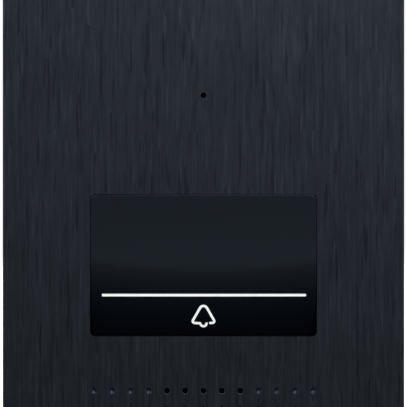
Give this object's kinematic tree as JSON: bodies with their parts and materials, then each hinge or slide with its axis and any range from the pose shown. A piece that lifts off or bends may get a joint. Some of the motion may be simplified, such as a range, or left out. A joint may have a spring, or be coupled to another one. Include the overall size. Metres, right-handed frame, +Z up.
{
  "type": "video doorbell",
  "caption": "Surface-mounted video door station: brushed dark faceplate, camera window, microphone hole, one large hinged call button with lit line and bell, drilled speaker field.",
  "frame": {"origin": "centre of the wall box's back face, on the wall's surface", "axes": "+Z up along the faceplate's long side, -Y out of the wall towards the visitor, +Y into the wall, +X to the viewer's right"},
  "size_m": [0.11, 0.036, 0.23],
  "materials": {
    "brushed_black": "black anodised, brushed upright",
    "smoked_glass": "smoked, glossy",
    "gloss_black": "polished",
    "white_light": "translucent white, lit from behind",
    "clear_guide": "clear, frosted",
    "black_plastic": "fine texture",
    "dark_plastic": "fine texture",
    "green_plastic": "moulded",
    "white_plastic": "moulded",
    "red_plastic": "moulded",
    "rubber": "closed cell and moulded",
    "steel": "zinc plated",
    "stainless": "plain",
    "brass": "turned",
    "magnet": "nickel plated",
    "copper": "enamelled wire",
    "board": "solder mask on glass fibre laminate",
    "chip": "moulded",
    "lens": "coated",
    "paper": "pulp",
    "label": "printed film, blank",
    "mesh": "woven acoustic cloth"
  },
  "bodies": {
    "station": {"front_plate": "brushed_black", "plate_studs": "steel", "plate_nuts": "steel", "camera_window": "smoked_glass", "window_gasket": "rubber", "camera_bracket": "stainless", "bracket_screws": "steel", "led_board": "board", "infrared_leds": "lens", "light_sensor": "white_plastic", "button_frame": "black_plastic", "frame_gasket": "rubber", "hinge_pins": "stainless", "return_springs": "stainless", "switch_bodies": "chip", "button_leds": "white_light", "acoustic_membrane": "mesh", "speaker_gasket": "rubber", "speaker_basket": "steel", "speaker_magnet": "magnet", "speaker_surround": "rubber", "microphone": "steel", "microphone_boot": "rubber", "main_board": "board", "board_screws": "steel", "processor_shield": "steel", "board_chips": "chip", "capacitors": "label", "relay": "white_plastic", "terminal_header": "green_plastic", "terminal_plug": "green_plastic", "tamper_switch": "chip", "tamper_spring": "stainless", "inner_housing": "black_plastic", "rear_cover": "black_plastic", "cover_screws": "steel", "perimeter_gasket": "rubber", "wall_frame": "black_plastic", "back_plate": "black_plastic", "back_plate_screws": "steel", "wall_seal": "rubber", "cable_grommet": "rubber", "lock_inserts": "brass", "lock_screws": "stainless"},
    "button": {"call_button": "gloss_black", "legend_inlay": "white_light", "light_guide": "clear_guide", "name_label": "label", "label_carrier": "dark_plastic"},
    "switch_actuators": {"switch_plungers": "red_plastic"},
    "camera_gimbal": {"camera_yoke": "dark_plastic"},
    "camera_head": {"camera_holder": "dark_plastic", "lens_barrel": "black_plastic", "lens_front": "lens", "lens_ring": "steel", "image_sensor": "chip", "sensor_board": "board"},
    "tamper_pin": {"tamper_plunger": "white_plastic"},
    "speaker_diaphragm": {"speaker_cone": "paper", "voice_coil": "copper"}
  },
  "joints": [
    {"name": "call_button", "type": "hinge", "parent": "station", "child": "button", "pos_m": [0, -0.0305, -0.0083], "axis": [1, 0, 0], "range_deg": [0, 1.5], "stiffness_Nm_per_rad": 4, "springref_deg": -0.57, "deforming": ["return_springs"]},
    {"name": "switch_actuators", "type": "slide", "parent": "station", "child": "switch_actuators", "axis": [0, 1, 0], "range_m": [0, 0.00076]},
    {"name": "camera_pan", "type": "hinge", "parent": "station", "child": "camera_gimbal", "pos_m": [0, -0.0235, 0.0715], "axis": [0, 0, 1], "range_deg": [-10, 10]},
    {"name": "camera_tilt", "type": "hinge", "parent": "camera_gimbal", "child": "camera_head", "pos_m": [0, -0.0235, 0.0715], "axis": [1, 0, 0], "range_deg": [-10, 10]},
    {"name": "tamper_pin", "type": "slide", "parent": "station", "child": "tamper_pin", "axis": [0, 1, 0], "range_m": [0, 0.0015], "stiffness_N_per_m": 80, "deforming": ["tamper_spring"]},
    {"name": "speaker_stroke", "type": "slide", "parent": "station", "child": "speaker_diaphragm", "axis": [0, -1, 0], "range_m": [-0.0005, 0.0005], "stiffness_N_per_m": 1000, "deforming": ["speaker_surround"]}
  ],
  "couplings": [
    {"joint": "switch_actuators", "follows": "call_button", "m_per_rad": 0.0286}
  ]
}
